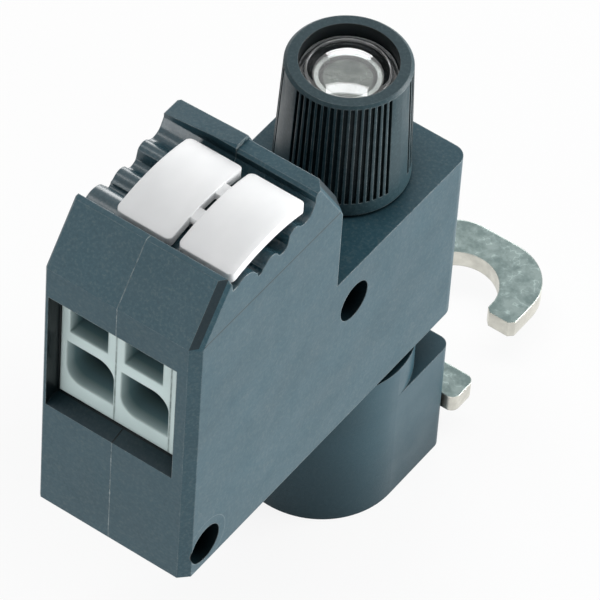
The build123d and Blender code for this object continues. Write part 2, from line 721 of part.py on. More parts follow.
# Foot: an open cup around the barrel, tangent to a square block that holds the claw
def claw_tongue_outline():
    with Locations((MID_X, BACK_Y)):
        Rectangle(2 * TONGUE_HALF_WIDTH, FUSE_SETBACK + TONGUE_MARGIN, align=(Align.CENTER, Align.MAX))


def make_foot():
    bottom = -FOOT_BOTTOM_DROP
    block_top = BASE_Z - BLOCK_TOP_DROP
    rim_top = BASE_Z - RIM_GAP
    with BuildPart() as foot:
        with BuildSketch(Plane.XY.offset(bottom)) as base:
            with Locations((MID_X, FUSE_Y)):
                Circle(BODY_WIDTH / 2)
                Rectangle(BODY_WIDTH, FUSE_SETBACK, align=(Align.CENTER, Align.MIN))
            fillet(base.vertices().group_by(Axis.Y)[-1], FOOT_CORNER_RADIUS)
        extrude(amount=block_top - bottom)
        with BuildSketch(Plane.XY.offset(block_top)):
            with Locations((MID_X, FUSE_Y)):
                Circle(BODY_WIDTH / 2)
        extrude(amount=rim_top - block_top)
        with BuildSketch(Plane.XY.offset(CUP_FLOOR)):
            with Locations((MID_X, FUSE_Y)):
                Circle(BODY_WIDTH / 2 - CUP_WALL)
        extrude(amount=rim_top, mode=Mode.SUBTRACT)
        with BuildSketch(Plane.XY.offset(BARREL_SEAT)):
            with Locations((MID_X, FUSE_Y)):
                Circle(BARREL_RADIUS + BARREL_FIT)
        extrude(amount=rim_top, mode=Mode.SUBTRACT)
        with BuildSketch(Plane.XY):
            claw_tongue_outline()
        extrude(amount=PLATE_THICKNESS, mode=Mode.SUBTRACT)
        with BuildSketch(Plane.XY):
            with Locations((MID_X, FUSE_Y)):
                Circle(POST_RADIUS + BARREL_FIT)
        extrude(amount=BASE_Z, mode=Mode.SUBTRACT)
        with BuildSketch(Plane.XY.offset(-POST_HEAD_HEIGHT)):
            with Locations((MID_X, FUSE_Y)):
                Circle(POST_HEAD_RADIUS + BARREL_FIT)
        extrude(amount=POST_HEAD_HEIGHT, mode=Mode.SUBTRACT)
    return foot.part


# Claw: a stamped hook that slides sideways over the busbar stud
def make_claw():
    outer = CLAW_RADIUS + CLAW_BAND
    back = CLAW_RADIUS + CLAW_BACK_BAND
    base_back = BACK_Y + SHOULDER_DEPTH
    with BuildPart() as claw:
        with BuildSketch() as plate:
            with Locations((0, back)):
                Rectangle(2 * outer, back - base_back, align=(Align.CENTER, Align.MAX))
            fillet(plate.vertices().group_by(Axis.Y)[-1], CLAW_CORNER_RADIUS)
            Circle(CLAW_RADIUS, mode=Mode.SUBTRACT)
            Rectangle(2 * CLAW_RADIUS, -base_back, align=(Align.CENTER, Align.MAX), mode=Mode.SUBTRACT)
            tip_length = -base_back - CLAW_TIP_DROP
            with Locations((0, -CLAW_TIP_DROP)):
                Rectangle(outer + 1, tip_length, align=(Align.MIN, Align.MAX), mode=Mode.SUBTRACT)
            chamfer(plate.vertices().sort_by_distance((outer, -CLAW_TIP_DROP))[0], CLAW_TIP_CUT)
            chamfer(plate.vertices().sort_by_distance((CLAW_RADIUS, -CLAW_TIP_DROP))[0], CLAW_TIP_CUT)
        extrude(amount=PLATE_THICKNESS)
        with BuildSketch() as shoulder:
            with Locations((0, base_back)):
                Rectangle(2 * (RIGHT_X + SHOULDER_REACH), SHOULDER_DEPTH, align=(Align.CENTER, Align.MAX))
            fillet(shoulder.vertices(), SHOULDER_RADIUS)
            claw_tongue_outline()
        extrude(amount=PLATE_THICKNESS)
        with BuildSketch():
            with Locations((MID_X, FUSE_Y)):
                Circle(POST_SHANK_RADIUS)
        extrude(amount=PLATE_THICKNESS, mode=Mode.SUBTRACT)
    return claw.part


# Marker strip: two crowned tags joined by short bridges, with a latch foot under each
def make_marker_strip():
    tag_front = SEAT_FRONT + TAG_START
    tag_back = tag_front + TAG_LENGTH
    middle = tag_front + TAG_LENGTH / 2
    edge = SEAT_LEVEL + TAG_RISE
    crown = edge + TAG_CROWN
    pitch = TAG_WIDTH + TAG_GAP
    with BuildPart() as strip:
        for number in range(POLE_COUNT):
            left = MID_X + TAG_LEFT + number * pitch
            with BuildSketch(side_plane(left)):
                with BuildLine():
                    ThreePointArc(at(tag_front, edge), at(middle, crown), at(tag_back, edge))
                    Line(at(tag_back, edge), at(tag_back, edge - TAG_THICKNESS))
                    ThreePointArc(
                        at(tag_back, edge - TAG_THICKNESS),
                        at(middle, crown - TAG_THICKNESS),
                        at(tag_front, edge - TAG_THICKNESS),
                    )
                    Line(at(tag_front, edge - TAG_THICKNESS), at(tag_front, edge))
                make_face()
            extrude(amount=TAG_WIDTH)
            corners = strip.edges().filter_by(Axis.Z)
            fillet(corners.filter_by_position(Axis.X, left - 0.01, left + TAG_WIDTH + 0.01), TAG_CORNER_RADIUS)
            foot_left = left - MID_X + (TAG_WIDTH - TAG_FOOT_WIDTH) / 2
            span(
                (tag_front + TAG_FOOT_START, tag_front + TAG_FOOT_START + TAG_FOOT_LENGTH),
                (SEAT_LEVEL - TAG_FOOT_DROP, crown - TAG_THICKNESS),
                (foot_left, foot_left + TAG_FOOT_WIDTH),
                Mode.ADD,
            )
        bridge_x = (TAG_LEFT + TAG_WIDTH, TAG_LEFT + TAG_WIDTH + TAG_GAP)
        for share in (1 / 3, 2 / 3):
            start = tag_front + TAG_LENGTH * share - BRIDGE_LENGTH / 2
            bridge_z = (crown - TAG_THICKNESS + 0.1, crown - 0.25)
            span((start, start + BRIDGE_LENGTH), bridge_z, bridge_x, Mode.ADD)
    return strip.part


os.makedirs("parts", exist_ok=True)
save(make_shell(LEFT_X, SEAM_X, LEFT_X, RIDGE_HEIGHT + RIDGE_STEP, FRONT_CHAMFER / 4), "left_shell")
save(make_shell(SEAM_X, RIGHT_X, RIGHT_X, RIDGE_HEIGHT, FRONT_CHAMFER), "right_shell")
for number in range(POLE_COUNT):
    save(make_pole(number), f"clamp_pole_{number + 1}")
    save(make_cage_spring(number), f"cage_spring_{number + 1}")
save(make_end_plate(), "clamp_end_plate")
save(make_current_bar(), "current_bar")
save(make_barrel(), "fuse_barrel")
save(make_contact_ring(), "contact_ring")
save(make_fuse_end(FUSE_TOP_HEIGHT, -1), "fuse_end_top")
save(make_fuse_end(FUSE_BASE_HEIGHT, 1), "fuse_end_bottom")
save(make_fuse_tube(), "fuse_tube")
save(make_fuse_element(), "fuse_element")
save(make_plunger(), "contact_plunger")
save(make_plunger_spring(), "plunger_spring")
save(make_contact_post(), "contact_post")
save(make_cap(), "fuse_cap")
save(make_lens(), "cap_lens")
save(make_clip(), "fuse_clip")
save(make_foot(), "foot_housing")
save(make_claw(), "busbar_claw")
save(make_marker_strip(), "marker_strip")
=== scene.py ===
import math

import bpy
import bmesh
from mathutils import Matrix, Vector


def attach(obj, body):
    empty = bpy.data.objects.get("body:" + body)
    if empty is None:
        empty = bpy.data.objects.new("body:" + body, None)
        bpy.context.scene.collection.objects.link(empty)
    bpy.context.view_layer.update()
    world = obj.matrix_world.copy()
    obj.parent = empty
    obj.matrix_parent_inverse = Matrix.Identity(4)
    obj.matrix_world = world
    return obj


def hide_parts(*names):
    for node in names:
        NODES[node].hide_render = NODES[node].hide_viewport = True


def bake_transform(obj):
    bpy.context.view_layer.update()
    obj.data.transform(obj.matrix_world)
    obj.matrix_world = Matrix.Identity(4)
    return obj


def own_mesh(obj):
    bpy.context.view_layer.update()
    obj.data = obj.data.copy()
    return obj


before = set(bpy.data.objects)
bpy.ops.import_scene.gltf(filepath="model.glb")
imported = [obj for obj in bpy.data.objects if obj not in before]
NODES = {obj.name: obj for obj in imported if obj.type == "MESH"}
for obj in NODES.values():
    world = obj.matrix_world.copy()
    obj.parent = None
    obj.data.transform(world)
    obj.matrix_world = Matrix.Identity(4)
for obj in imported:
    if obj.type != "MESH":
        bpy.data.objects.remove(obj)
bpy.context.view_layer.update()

MM = 0.001

# Levels and places that the looks share with the CAD, in millimetres
SEAM_X = -1.4
RIGHT_X = 7.5
FRONT_Y = -56.4
FACE_Y = -54.5
FLOOR_Z = -4.65
SEAT_Y = (-52.2, -38.2)
SEAT_Z = (49.5, 53.2)
POLE_JOINTS_X = (-2.6, 3.6)
WINDOW_LEFT_X = -9.0
WINDOW_RIGHT_X = 5.4
WINDOW_TOP_Z = 43.7
CHAMFER = 0.95
CHAMFER_DARK = 0.6
TOOL_LINE_Z = 47.4
FRONT_HOLE = (-53.4, 18.2)
REAR_HOLE = (-31.0, 32.2)
HOLE_RADIUS = 2.15
RING_RADIUS = 3.1
CAP_X = -1.0
CAP_Y = -21.65
CAP_OPENING_RADIUS = 4.7
LENS_FLANGE_Z = (49.32, 49.7)
LENS_RADII = (3.75, 4.62)
LENS_BEAD = ((3.86, 49.93), (3.93, 50.0), (4.04, 50.02), (4.15, 49.96), (4.22, 49.84), (4.24, 49.7))
LENS_DOME_CENTRE_Z = 44.0
LENS_DOME_RADIUS = 7.05
LENS_WALL = 0.55
COIL_Z = (19.4, 27.9)
COIL_RADIUS = 1.9
COIL_WIRE = 0.25
COIL_TURNS = 3.5
COIL_STEPS_PER_TURN = 28
COIL_SIDES = 10

# Base colours, in linear values
HOUSING = (0.026, 0.074, 0.098)
CAP = (0.020, 0.045, 0.055)
TAG = (0.905, 0.915, 0.92)
INSERT = (0.62, 0.75, 0.74)
GRAIN_SPECK = (0.075, 0.115, 0.125)
# Pale tones for scuffs and for the painted highlight along edges; the housing's tone is also the seam's
# flash colour.
PALE_SCUFF_AND_HIGHLIGHT = (0.34, 0.40, 0.41)
INSERT_SCUFF_AND_HIGHLIGHT = (0.75, 0.8, 0.79)
RING_LIGHT = (0.24, 0.30, 0.32)
TOOL_LINE_DARK = (0.006, 0.012, 0.015)
# Painted shade and painted shadow for the conductor window.
REVEAL_PAINTED_SHADE = (0.004, 0.008, 0.010)
REVEAL_SHADOW_AND_SEAM = (0.002, 0.003, 0.003)
# Painted shade for the chamfer by the right wall.
CHAMFER_PAINTED_SHADE = (0.003, 0.007, 0.010)
NEAR_BLACK = (0.001, 0.002, 0.002)


class Nodes:
    """A material under construction, with short calls for the nodes it needs."""

    def __init__(self, name):
        self.material = bpy.data.materials.new(name)
        self.material.use_nodes = True
        self.tree = self.material.node_tree
        self.tree.nodes.clear()
        self.output = self.tree.nodes.new("ShaderNodeOutputMaterial")
        self.shader = self.tree.nodes.new("ShaderNodeBsdfPrincipled")
        self.link(self.shader.outputs["BSDF"], self.output.inputs["Surface"])
        self.coords = self.tree.nodes.new("ShaderNodeTexCoord")

    def node(self, kind, **values):
        made = self.tree.nodes.new(kind)
        for key, value in values.items():
            setattr(made, key, value)
        return made

    def link(self, source, target):
        self.tree.links.new(source, target)

    def noise(self, size_mm, detail=3.0, roughness=0.5, stretch=(1, 1, 1)):
        """Noise whose features are about size_mm across."""
        mapping = self.node("ShaderNodeMapping")
        self.link(self.coords.outputs["Object"], mapping.inputs["Vector"])
        mapping.inputs["Scale"].default_value = stretch
        made = self.node("ShaderNodeTexNoise")
        self.link(mapping.outputs["Vector"], made.inputs["Vector"])
        made.inputs["Scale"].default_value = 1 / (size_mm * MM)
        made.inputs["Detail"].default_value = detail
        made.inputs["Roughness"].default_value = roughness
        return made.outputs["Fac"]

    def span(self, value, low, high, to_low=0.0, to_high=1.0):
        """Maps a value from one range to another, clamped."""
        made = self.node("ShaderNodeMapRange", clamp=True)
        self.link(value, made.inputs["Value"])
        made.inputs["From Min"].default_value = low
        made.inputs["From Max"].default_value = high
        made.inputs["To Min"].default_value = to_low
        made.inputs["To Max"].default_value = to_high
        return made.outputs["Result"]

    def math(self, operation, first, second=None):
        made = self.node("ShaderNodeMath", operation=operation)
        for socket, value in zip(made.inputs, (first, second)):
            if value is None:
                continue
            if isinstance(value, (int, float)):
                socket.default_value = value
            else:
                self.link(value, socket)
        return made.outputs["Value"]

    def within(self, value, low_mm, high_mm):
        """1 where a coordinate lies between two values, 0 elsewhere."""
        above = self.math("GREATER_THAN", value, low_mm * MM)
        return self.math("MULTIPLY", above, self.math("LESS_THAN", value, high_mm * MM))

    def distance(self, first, second, centre):
        """Distance from an axis, where two coordinates are those across it."""
        squares = []
        for value, middle in zip((first, second), centre):
            squares.append(self.math("POWER", self.math("SUBTRACT", value, middle * MM), 2.0))
        return self.math("SQRT", self.math("ADD", *squares))

    def times(self, *values):
        product = values[0]
        for value in values[1:]:
            product = self.math("MULTIPLY", product, value)
        return product

    def mix(self, factor, first, second):
        made = self.node("ShaderNodeMix", data_type="RGBA")
        sockets = (made.inputs["Factor"], made.inputs[6], made.inputs[7])
        for socket, value in zip(sockets, (factor, first, second)):
            if isinstance(value, float):
                socket.default_value = value
            elif isinstance(value, tuple):
                socket.default_value = (*value, 1.0)
            else:
                self.link(value, socket)
        return made.outputs[2]

    def axis(self, letter, output="Object"):
        made = self.node("ShaderNodeSeparateXYZ")
        self.link(self.coords.outputs[output], made.inputs["Vector"])
        return made.outputs[letter]

    def edges(self, radius_mm):
        """1 on sharp edges, 0 on flat faces."""
        rounded = self.node("ShaderNodeBevel", samples=6)
        rounded.inputs["Radius"].default_value = radius_mm * MM
        plain = self.node("ShaderNodeNewGeometry")
        dot = self.node("ShaderNodeVectorMath", operation="DOT_PRODUCT")
        self.link(rounded.outputs["Normal"], dot.inputs[0])
        self.link(plain.outputs["Normal"], dot.inputs[1])
        return self.span(dot.outputs["Value"], 0.995, 0.86)

    def hollow(self, reach_mm, low, high):
        """1 in narrow hollows, 0 on open faces."""
        made = self.node("ShaderNodeAmbientOcclusion", samples=8)
        made.inputs["Distance"].default_value = reach_mm * MM
        return self.span(made.outputs["AO"], high, low)

    def bump(self, height, distance_mm, soften_mm=0.0):
        made = self.node("ShaderNodeBump")
        made.inputs["Distance"].default_value = distance_mm * MM
        self.link(height, made.inputs["Height"])
        if soften_mm:
            rounded = self.node("ShaderNodeBevel", samples=6)
            rounded.inputs["Radius"].default_value = soften_mm * MM
            self.link(rounded.outputs["Normal"], made.inputs["Normal"])
        self.link(made.outputs["Normal"], self.shader.inputs["Normal"])

    def colour(self, value):
        self.link(value, self.shader.inputs["Base Color"])

    def roughness(self, value):
        self.link(value, self.shader.inputs["Roughness"])

    def scatter(self, weight, scale_mm):
        """Light that spreads evenly under the surface, as in pale plastic."""
        self.shader.inputs["Subsurface Weight"].default_value = weight
        self.shader.inputs["Subsurface Radius"].default_value = (1.0, 1.0, 1.0)
        self.shader.inputs["Subsurface Scale"].default_value = scale_mm * MM


def shade(colour, amount):
    return tuple(min(1.0, channel * amount) for channel in colour)


def plastic_base(m, colour, grain, edge_lightening, scuff_and_highlight_colour):
    """Moulded plastic: faint flow marks, a fine grain with pale specks, and pale edges, which are partly
    scuffs and partly a painted highlight line.
    """
    flow = m.noise(7.0, 3.0, 0.55, (1.0, 0.55, 1.0))
    base = m.mix(m.span(flow, 0.3, 0.7), shade(colour, 0.93), shade(colour, 1.07))
    speckle = m.noise(0.32, 3.0, 0.6)
    base = m.mix(m.span(speckle, 0.5, 0.2, 0.0, 0.6 * grain), base, shade(colour, 0.6))
    base = m.mix(m.span(speckle, 0.5, 0.8, 0.0, 0.8 * grain), base, GRAIN_SPECK)
    # Every edge gets a steady pale line, which is a painted highlight, and noise adds scuffs on top of it.
    edges = m.edges(0.16)
    scuff_and_highlight = m.span(m.noise(1.0, 4.0, 0.65), 0.44, 0.62, 0.35 * edge_lightening, edge_lightening)
    return m.mix(m.math("MULTIPLY", edges, scuff_and_highlight), base, scuff_and_highlight_colour)


def add_seam(m, base):
    """The seam between the two shells: a thin pale flash line, broken up along its length."""
    offset = m.math("ABSOLUTE", m.math("SUBTRACT", m.axis("X"), SEAM_X * MM))
    width = m.span(m.noise(0.6, 4.0, 0.6), 0.42, 0.68, 0.0, 0.1 * MM)
    broken = m.span(m.noise(2.2, 3.0, 0.6), 0.4, 0.6, 0.1, 0.9)
    return m.mix(m.times(m.math("LESS_THAN", offset, width), broken), base, PALE_SCUFF_AND_HIGHLIGHT)


def add_side_marks(m, base):
    """On the right wall: a fine level tool line, and a faint ring around the front hole."""
    wall = m.math("GREATER_THAN", m.axis("X"), (RIGHT_X - 0.02) * MM)
    level = m.math("ABSOLUTE", m.math("SUBTRACT", m.axis("Z"), TOOL_LINE_Z * MM))
    line = m.times(m.math("LESS_THAN", level, 0.08 * MM), wall, 0.9)
    base = m.mix(line, base, TOOL_LINE_DARK)
    radius = m.distance(m.axis("Y"), m.axis("Z"), FRONT_HOLE)
    ring = m.within(radius, RING_RADIUS - 0.04, RING_RADIUS + 0.04)
    ring = m.times(ring, wall, 0.3)
    return m.mix(ring, base, RING_LIGHT)


def add_window_painted_shade(m, base):
    """Painted shade on the sides and sill of the conductor window, with painted shadow on its side walls
    and in the gap behind the window's face; the shell seam across the sill is drawn as a dark line.
    """
    depth = m.within(m.axis("Y"), FRONT_Y + 0.04, FACE_Y + 2.0)
    height = m.math("LESS_THAN", m.axis("Z"), (WINDOW_TOP_Z + 0.1) * MM)
    reveal = m.times(depth, height, m.within(m.axis("X"), WINDOW_LEFT_X - 0.05, WINDOW_RIGHT_X + 0.05))
    side = m.math("GREATER_THAN", m.math("ABSOLUTE", m.axis("X", "Normal")), 0.7)
    seam = m.within(m.axis("X"), SEAM_X - 0.07, SEAM_X + 0.07)
    gap = m.math("GREATER_THAN", m.axis("Y"), (FACE_Y - 0.2) * MM)
    dark = m.math("MAXIMUM", m.math("MAXIMUM", side, seam), gap)
    base = m.mix(m.math("MULTIPLY", reveal, 0.6), base, REVEAL_PAINTED_SHADE)
    return m.mix(m.times(reveal, dark, 0.85), base, REVEAL_SHADOW_AND_SEAM)


def add_hole_shade(m, base):
    """The walls of the two holes through the body, which no light reaches."""
    inside = m.within(m.axis("X"), -RIGHT_X - 1.95, RIGHT_X - 0.05)
    for hole in (FRONT_HOLE, REAR_HOLE):
        radius = m.distance(m.axis("Y"), m.axis("Z"), hole)
        wall = m.math("LESS_THAN", radius, (HOLE_RADIUS + 0.05) * MM)
        base = m.mix(m.times(wall, inside, 0.85), base, NEAR_BLACK)
    return base


def add_chamfer_painted_shade(m, base):
    """Painted shade on the inner part of the smooth chamfer between the sloping front and the right wall,
    above the tool line.
    """
    strip = m.within(m.axis("X"), RIGHT_X - CHAMFER - 0.02, RIGHT_X - CHAMFER + CHAMFER_DARK)
    above = m.math("GREATER_THAN", m.axis("Z"), TOOL_LINE_Z * MM)
    tilted = m.math("GREATER_THAN", m.axis("X", "Normal"), 0.3)
    return m.mix(m.times(strip, above, tilted, 0.8), base, CHAMFER_PAINTED_SHADE)


def seat_zone(m):
    """1 on the smooth waves of the marker seat, 0 elsewhere."""
    along = m.within(m.axis("Y"), *SEAT_Y)
    height = m.math("MINIMUM", m.span(m.axis("Z"), SEAT_Z[0] * MM, (SEAT_Z[0] + 0.1) * MM),
                    m.span(m.axis("Z"), SEAT_Z[1] * MM, (SEAT_Z[1] - 0.9) * MM))
    level = m.math("LESS_THAN", m.math("ABSOLUTE", m.axis("X", "Normal")), 0.5)
    return m.times(along, height, level)


def moulded(name, colour, roughness, specular=0.3, grain=1.0, bump=0.008, edge_lightening=0.45, marks=False,
            hollow_reach=5.0, hollow_depth=0.85, bore=None, translucent=0.0):
    """Moulded plastic with painted shade darkening its hollows and its reflections turned down there; marks
    adds what only the two shells have.
    """
    m = Nodes(name)
    base = plastic_base(m, colour, grain, edge_lightening, PALE_SCUFF_AND_HIGHLIGHT)
    if bore:
        # Painted shade: the inner wall of the cap's opening goes near black.
        radius = m.distance(m.axis("X"), m.axis("Y"), (CAP_X, CAP_Y))
        inside = m.math("LESS_THAN", radius, (bore + 0.03) * MM)
        base = m.mix(m.math("MULTIPLY", inside, 0.9), base, NEAR_BLACK)
    if marks:
        base = add_seam(m, base)
        base = add_side_marks(m, base)
        base = add_window_painted_shade(m, base)
        base = add_chamfer_painted_shade(m, base)
        base = add_hole_shade(m, base)
    # Painted shade: ambient occlusion darkens the colour in creases, recesses and under overhangs.
    hollow = m.times(m.hollow(hollow_reach, 0.25, 0.8), hollow_depth)
    if marks:
        seat = seat_zone(m)
        hollow = m.math("MULTIPLY", hollow, m.span(seat, 0.0, 1.0, 1.0, 0.3))
    dull = m.span(m.noise(3.5, 3.0, 0.6), 0.3, 0.7, roughness - 0.05, roughness + 0.05)
    gloss = m.span(hollow, 0.0, 1.0, specular, 0.0)
    if marks:
        # Painted shade: the base is darkened a little on the seat waves, whose valleys lie in shade.
        base = m.mix(m.math("MULTIPLY", seat, 0.1), base, shade(colour, 0.2))
        dull = m.math("SUBTRACT", dull, m.math("MULTIPLY", seat, 0.1))
        gloss = m.math("ADD", gloss, m.math("MULTIPLY", seat, 0.35))
    # The hollow mask mixes painted shade into the colour here.
    m.colour(m.mix(hollow, base, shade(colour, 0.08)))
    m.link(gloss, m.shader.inputs["Specular IOR Level"])
    m.roughness(dull)
    if translucent:
        m.scatter(translucent, 1.2)
    m.bump(m.noise(0.15, 2.0, 0.5), bump, soften_mm=0.15)
    return m.material


def insert_plastic(name, colour):
    """Pale satin plastic, with painted shade deepening to near black inside the funnels and slots."""
    m = Nodes(name)
    m.shader.inputs["Specular IOR Level"].default_value = 0.3
    base = plastic_base(m, colour, 0.0, 0.1, INSERT_SCUFF_AND_HIGHLIGHT)
    depth = m.math("SUBTRACT", m.axis("Y"), FACE_Y * MM)
    for joint in POLE_JOINTS_X:
        line = m.within(m.axis("X"), joint - 0.09, joint + 0.09)
        broken = m.span(m.noise(1.2, 3.0, 0.6), 0.35, 0.65, 0.3, 0.9)
        base = m.mix(m.math("MULTIPLY", line, broken), base, (0.2, 0.27, 0.265))
    # Painted shade: the colour darkens with depth behind the front face, where less light reaches in.
    base = m.mix(m.span(depth, 0.1 * MM, 1.2 * MM), base, (0.17, 0.28, 0.30))
    base = m.mix(m.span(depth, 1.2 * MM, 3.8 * MM), base, (0.008, 0.014, 0.014))
    m.colour(base)
    m.roughness(m.span(m.noise(3.0, 3.0, 0.6), 0.3, 0.7, 0.35, 0.45))
    m.bump(m.noise(0.2, 2.0, 0.5), 0.003, soften_mm=0.35)
    m.scatter(0.2, 0.8)
    return m.material


def plated(name, colour, dark, side, roughness, mottle_mm, edge_lightening=0.25, grain=0.004):
    """Tinned or nickelled metal: a mottled face, cleaner cut sides and bright worn edges."""
    m = Nodes(name)
    m.shader.inputs["Metallic"].default_value = 1.0
    patches = m.noise(mottle_mm, 6.0, 0.62)
    face = m.mix(m.span(patches, 0.4, 0.6), dark, colour)
    streaks = m.math("ABSOLUTE", m.math("SUBTRACT", m.noise(mottle_mm * 0.9, 2.0, 0.5), 0.5))
    thin = m.times(m.span(streaks, 0.022, 0.0), m.span(patches, 0.45, 0.6), 0.55)
    face = m.mix(thin, face, shade(colour, 1.9))
    cut = m.mix(m.span(m.noise(mottle_mm * 0.8, 4.0, 0.6), 0.35, 0.65), shade(side, 0.8), side)
    upright = m.span(m.math("ABSOLUTE", m.axis("Z", "Normal")), 0.3, 0.7)
    base = m.mix(upright, cut, face)
    m.colour(m.mix(m.times(m.edges(0.2), edge_lightening), base, side))
    m.roughness(m.span(patches, 0.3, 0.7, roughness + 0.08, roughness - 0.06))
    m.bump(m.noise(0.25, 3.0, 0.6), grain, soften_mm=0.2)
    return m.material


def clear(name, tint, roughness, ior, coat=0.0):
    """Clear plastic or glass, a little smeared."""
    m = Nodes(name)
    m.shader.inputs["Coat Weight"].default_value = coat
    m.shader.inputs["Coat IOR"].default_value = 1.9
    m.shader.inputs["Coat Roughness"].default_value = 0.02
    m.shader.inputs["Base Color"].default_value = (*tint, 1.0)
    m.shader.inputs["Transmission Weight"].default_value = 1.0
    m.shader.inputs["IOR"].default_value = ior
    smear = m.noise(2.2, 3.0, 0.6)
    m.roughness(m.span(smear, 0.35, 0.75, roughness, roughness + 0.05))
    m.bump(m.noise(1.8, 2.0, 0.5), 0.002)
    return m.material


materials = {
    "housing": moulded("housing_plastic", HOUSING, 0.36, marks=True, edge_lightening=0.6, hollow_reach=8.0),
    # The foot's long hollow reach paints shade over the cup where the housing overhangs it.
    "foot": moulded("foot_plastic", HOUSING, 0.34, grain=0.3, hollow_reach=30.0, hollow_depth=0.97),
    # A darker copy of the housing plastic: painted shade for the barrel in the gap inside the cup.
    "barrel": moulded("barrel_plastic", shade(HOUSING, 0.6), 0.5),
    "cap": moulded("cap_plastic", CAP, 0.38, 0.25, grain=0.6, hollow_reach=1.2, hollow_depth=0.8,
                   bore=CAP_OPENING_RADIUS),
    "pole": insert_plastic("pole_plastic", INSERT),
    "tag": moulded("tag_plastic", TAG, 0.55, grain=0.0, bump=0.002, edge_lightening=0.0,
                   hollow_reach=1.5, hollow_depth=0.05, translucent=0.5),
    "tin": plated("tinned_copper", (0.24, 0.30, 0.29), (0.13, 0.175, 0.17), (0.72, 0.71, 0.64),
                  0.36, 1.7, 0.3),
    # Darker than the other nickel: painted shade for the fuse end deep inside the cap.
    "fuse_end": plated("fuse_end_nickel", (0.17, 0.185, 0.16), (0.09, 0.105, 0.09), (0.2, 0.21, 0.19),
                       0.3, 1.6, 0.4),
    "nickel": plated("nickel", (0.64, 0.65, 0.60), (0.48, 0.49, 0.45), (0.6, 0.61, 0.57), 0.22, 2.6),
    "spring": plated("spring_steel", (0.6, 0.61, 0.62), (0.42, 0.42, 0.43), (0.55, 0.56, 0.57), 0.3, 2.0),
    "lens": clear("lens_plastic", (0.95, 0.985, 1.0), 0.01, 1.49, coat=0.5),
    "glass": clear("fuse_glass", (0.95, 0.98, 0.97), 0.02, 1.5),
}

MATERIAL_OF = {
    "left_shell": "housing",
    "right_shell": "housing",
    "foot_housing": "foot",
    "fuse_barrel": "barrel",
    "fuse_cap": "cap",
    "clamp_pole_1": "pole",
    "clamp_pole_2": "pole",
    "clamp_end_plate": "pole",
    "marker_strip": "tag",
    "cap_lens": "lens",
    "fuse_tube": "glass",
    "fuse_end_top": "fuse_end",
    "fuse_end_bottom": "fuse_end",
    "fuse_element": "nickel",
    "fuse_clip": "nickel",
    "contact_ring": "tin",
    "contact_plunger": "nickel",
    "contact_post": "tin",
    "busbar_claw": "tin",
    "current_bar": "tin",
    "cage_spring_1": "spring",
    "cage_spring_2": "spring",
    "plunger_spring": "spring",
}
for node, material in MATERIAL_OF.items():
    mesh = NODES[node].data
    mesh.materials.clear()
    mesh.materials.append(materials[material])


def soften(node, width_mm, segments=3):
    """Rounds a piece's sharp edges a little, as moulding and tumbling leave them."""
    bevel = NODES[node].modifiers.new("soft_edges", "BEVEL")
    bevel.width = width_mm * MM
    bevel.segments = segments
    bevel.limit_method = "ANGLE"
    bevel.angle_limit = math.radians(38)


soften("marker_strip", 0.25)
soften("busbar_claw", 0.18, 2)


def add_piece(name, shape, sharp_degrees, material):
    """Turns a finished bmesh into a smooth-shaded piece of the scene."""
    mesh = bpy.data.meshes.new(name)
    shape.to_mesh(mesh)
    shape.free()
    mesh.shade_smooth()
    mesh.set_sharp_from_angle(angle=math.radians(sharp_degrees))
    mesh.materials.append(material)
    piece = bpy.data.objects.new(name, mesh)
    bpy.context.scene.collection.objects.link(piece)
    return piece


def revolved(name, outline, steps, material):
    """A closed piece turned round the cap's axis from its outline of (radius, height) points."""
    shape = bmesh.new()
    rings = []
    for radius, height in outline:
        if radius == 0:
            rings.append([shape.verts.new((CAP_X * MM, CAP_Y * MM, height * MM))] * steps)
            continue
        ring = []
        for step in range(steps):
            angle = 2 * math.pi * step / steps
            place = (CAP_X + radius * math.cos(angle), CAP_Y + radius * math.sin(angle), height)
            ring.append(shape.verts.new(Vector(place) * MM))
        rings.append(ring)
    for upper, lower in zip(rings, rings[1:]):
        for step in range(steps):
            following = (step + 1) % steps
            corners = (upper[step], lower[step], lower[following], upper[following])
            shape.faces.new(list(dict.fromkeys(corners)))
    return add_piece(name, shape, 40, material)


def dome(radius, reach, count):
    """Points of a dome from its top out to a radius of reach."""
    points = []
    for index in range(count + 1):
        out = reach * index / count
        points.append((out, LENS_DOME_CENTRE_Z + math.sqrt(radius ** 2 - out ** 2)))
    return points


def make_lens():
    """The lens is a thin clear dome with a raised bead around it, on a flat flange."""
    outer = dome(LENS_DOME_RADIUS, LENS_BEAD[0][0] - 0.06, 24)
    inner = dome(LENS_DOME_RADIUS - LENS_WALL, LENS_RADII[0], 20)
    low, high = LENS_FLANGE_Z
    flange = [(LENS_RADII[1], high), (LENS_RADII[1], low)]
    outline = outer + list(LENS_BEAD) + flange + inner[::-1]
    lens = revolved("lens", outline, 96, materials["lens"])
    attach(lens, "screw_cap")
    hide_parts("cap_lens")


make_lens()


